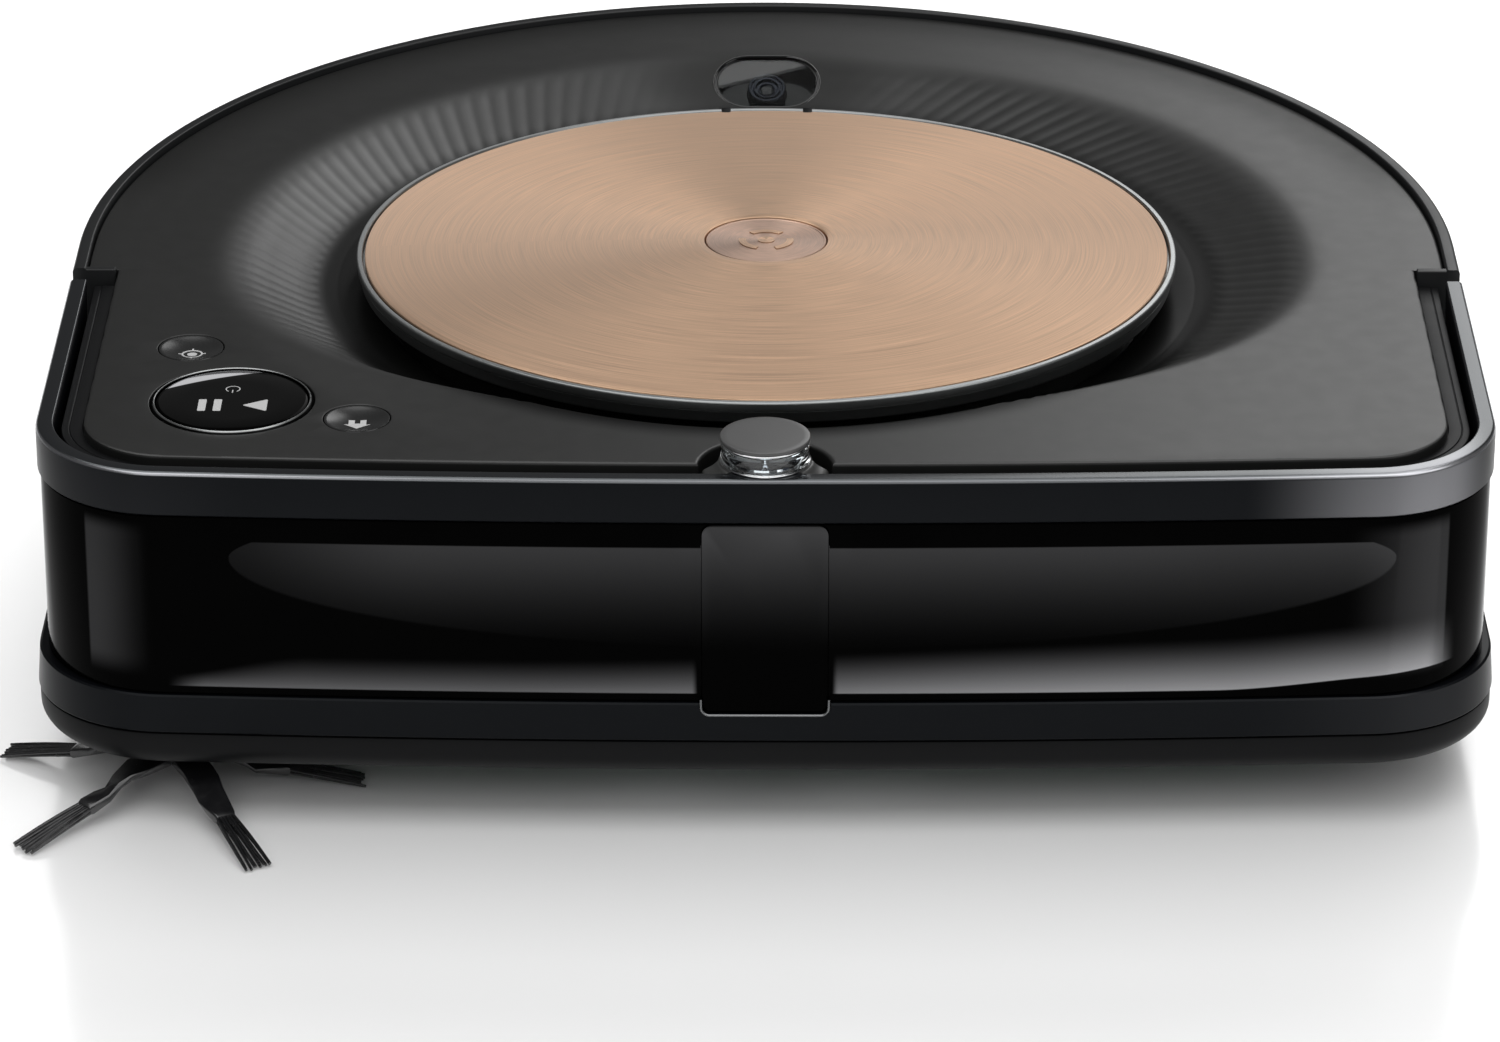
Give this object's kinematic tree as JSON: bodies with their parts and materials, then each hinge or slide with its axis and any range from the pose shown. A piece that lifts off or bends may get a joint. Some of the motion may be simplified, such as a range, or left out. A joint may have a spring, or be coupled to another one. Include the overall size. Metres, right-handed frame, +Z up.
{
  "type": "robotic floor cleaner",
  "caption": "Low D-shaped self-driving floor vacuum with a sprung sensor bumper, a hinged round lid over its dust bin, rubber rollers and a corner brush.",
  "frame": {"origin": "on the flat underside of the base, midway between the two drive wheels", "axes": "+Z up, the flat front faces -Y, +X is the right-hand side seen from the front"},
  "size_m": [0.3187, 0.2992, 0.089],
  "materials": {
    "deck_plastic": "fine matt texture",
    "satin_plastic": "satin",
    "gloss_window": "high gloss, infrared clear",
    "chassis_plastic": "matt",
    "copper_disc": "circular brushed, anodised copper tone",
    "lid_ring": "satin grey",
    "bright_ring": "polished",
    "clear_lens": "clear",
    "steel": "bright",
    "board": "solder mask",
    "bin_plastic": "smoked semi gloss",
    "handle_plastic": "satin grey green",
    "filter_paper": "pleated filter paper",
    "tyre_rubber": "ribbed rubber",
    "roller_rubber": "soft green rubber",
    "brush_rubber": "matt black",
    "bristle": "nylon bristles"
  },
  "bodies": {
    "chassis": {"base_plate": "chassis_plastic", "mid_frame": "chassis_plastic", "rear_shell": "satin_plastic", "top_deck": "deck_plastic", "bin_well": "chassis_plastic", "camera_bezel": "gloss_window", "camera_lens": "clear_lens", "camera_window": "gloss_window", "clean_button_ring": "bright_ring", "lid_hinge_bracket": "chassis_plastic", "lid_hinge_pin": "steel", "circuit_board": "board", "battery_pack": "chassis_plastic", "charge_contact_left": "steel", "charge_contact_right": "steel", "cliff_sensor_left": "gloss_window", "cliff_sensor_front_left": "gloss_window", "cliff_sensor_front_right": "gloss_window", "cliff_sensor_right": "gloss_window", "floor_tracking_sensor": "gloss_window", "wheel_housing_left": "chassis_plastic", "wheel_housing_right": "chassis_plastic", "corner_brush_motor": "steel", "fan_housing": "chassis_plastic"},
    "bumper": {"bumper_frame": "satin_plastic", "bumper_window": "gloss_window", "front_sensor_panel": "gloss_window", "dock_sensor_base": "satin_plastic", "dock_sensor_lens": "clear_lens", "dock_sensor_cap": "satin_plastic"},
    "lid": {"lid_frame": "lid_ring", "lid_disc": "copper_disc", "lid_badge": "copper_disc"},
    "bin": {"dust_bin": "bin_plastic", "bin_door": "bin_plastic", "bin_filter": "filter_paper"},
    "handle": {"bin_handle": "handle_plastic"},
    "clean_key": {"clean_button": "gloss_window"},
    "spot_key": {"spot_button": "deck_plastic"},
    "home_key": {"home_button": "deck_plastic"},
    "arm_left": {"wheel_arm_left": "satin_plastic"},
    "wheel_left": {"wheel_hub_left": "chassis_plastic", "tyre_left": "tyre_rubber"},
    "arm_right": {"wheel_arm_right": "satin_plastic"},
    "wheel_right": {"wheel_hub_right": "chassis_plastic", "tyre_right": "tyre_rubber"},
    "caster": {"caster_fork": "satin_plastic", "caster_axle": "steel"},
    "caster_roll": {"caster_wheel": "tyre_rubber"},
    "head": {"cleaning_head_frame": "chassis_plastic", "roller_gearbox": "chassis_plastic"},
    "front_roller": {"roller_front": "roller_rubber"},
    "rear_roller": {"roller_rear": "roller_rubber"},
    "corner_brush": {"corner_brush_hub": "brush_rubber", "brush_tuft_1": "bristle", "brush_tuft_2": "bristle", "brush_tuft_3": "bristle", "brush_tuft_4": "bristle", "brush_tuft_5": "bristle"},
    "impeller": {"fan_impeller": "bin_plastic"}
  },
  "joints": [
    {"name": "bumper_press", "type": "slide", "parent": "chassis", "child": "bumper", "axis": [0, 1, 0], "range_m": [0, 0.004], "stiffness_N_per_m": 1500},
    {"name": "lid_open", "type": "hinge", "parent": "chassis", "child": "lid", "pos_m": [0, 0.0896, 0.0646], "axis": [-1, 0, 0], "range_deg": [0, 95]},
    {"name": "bin_lift", "type": "slide", "parent": "chassis", "child": "bin", "axis": [0, 0, 1], "range_m": [0, 0.026]},
    {"name": "handle_turn", "type": "hinge", "parent": "bin", "child": "handle", "pos_m": [0, -0.002, 0.0512], "axis": [-1, 0, 0], "range_deg": [0, 88]},
    {"name": "clean_press", "type": "slide", "parent": "chassis", "child": "clean_key", "axis": [0, 0, -1], "range_m": [0, 0.001], "stiffness_N_per_m": 2000},
    {"name": "spot_press", "type": "slide", "parent": "chassis", "child": "spot_key", "axis": [0, 0, -1], "range_m": [0, 0.001], "stiffness_N_per_m": 2000},
    {"name": "home_press", "type": "slide", "parent": "chassis", "child": "home_key", "axis": [0, 0, -1], "range_m": [0, 0.001], "stiffness_N_per_m": 2000},
    {"name": "suspension_left", "type": "hinge", "parent": "chassis", "child": "arm_left", "pos_m": [-0.1032, 0.045, 0.033], "axis": [1, 0, 0], "range_deg": [-4, 25], "stiffness_Nm_per_rad": 0.8, "springref_deg": 25.78},
    {"name": "wheel_left_spin", "type": "hinge", "parent": "arm_left", "child": "wheel_left", "pos_m": [-0.118, 0, 0.021], "axis": [1, 0, 0], "continuous": true},
    {"name": "suspension_right", "type": "hinge", "parent": "chassis", "child": "arm_right", "pos_m": [0.1032, 0.045, 0.033], "axis": [1, 0, 0], "range_deg": [-4, 25], "stiffness_Nm_per_rad": 0.8, "springref_deg": 25.78},
    {"name": "wheel_right_spin", "type": "hinge", "parent": "arm_right", "child": "wheel_right", "pos_m": [0.118, 0, 0.021], "axis": [1, 0, 0], "continuous": true},
    {"name": "caster_swivel", "type": "hinge", "parent": "chassis", "child": "caster", "pos_m": [0, 0.118, 0], "axis": [0, 0, 1], "continuous": true},
    {"name": "caster_spin", "type": "hinge", "parent": "caster", "child": "caster_roll", "pos_m": [0, 0.122, 0], "axis": [1, 0, 0], "continuous": true},
    {"name": "head_float", "type": "slide", "parent": "chassis", "child": "head", "axis": [0, 0, 1], "range_m": [0, 0.005]},
    {"name": "front_roller_spin", "type": "hinge", "parent": "head", "child": "front_roller", "pos_m": [0, -0.0852, 0.0033], "axis": [1, 0, 0], "continuous": true},
    {"name": "rear_roller_spin", "type": "hinge", "parent": "head", "child": "rear_roller", "pos_m": [0, -0.057, 0.0033], "axis": [1, 0, 0], "continuous": true},
    {"name": "corner_brush_spin", "type": "hinge", "parent": "chassis", "child": "corner_brush", "pos_m": [-0.127, -0.106, 0], "axis": [0, 0, 1], "continuous": true},
    {"name": "fan_spin", "type": "hinge", "parent": "chassis", "child": "impeller", "pos_m": [0.0863, 0.0863, 0.025], "axis": [0, 0, 1], "continuous": true}
  ],
  "couplings": [
    {"joint": "bin_lift", "follows": "lid_open", "m_per_rad": 0.015},
    {"joint": "handle_turn", "follows": "lid_open", "ratio": 0.9},
    {"joint": "rear_roller_spin", "follows": "front_roller_spin", "ratio": -1}
  ]
}
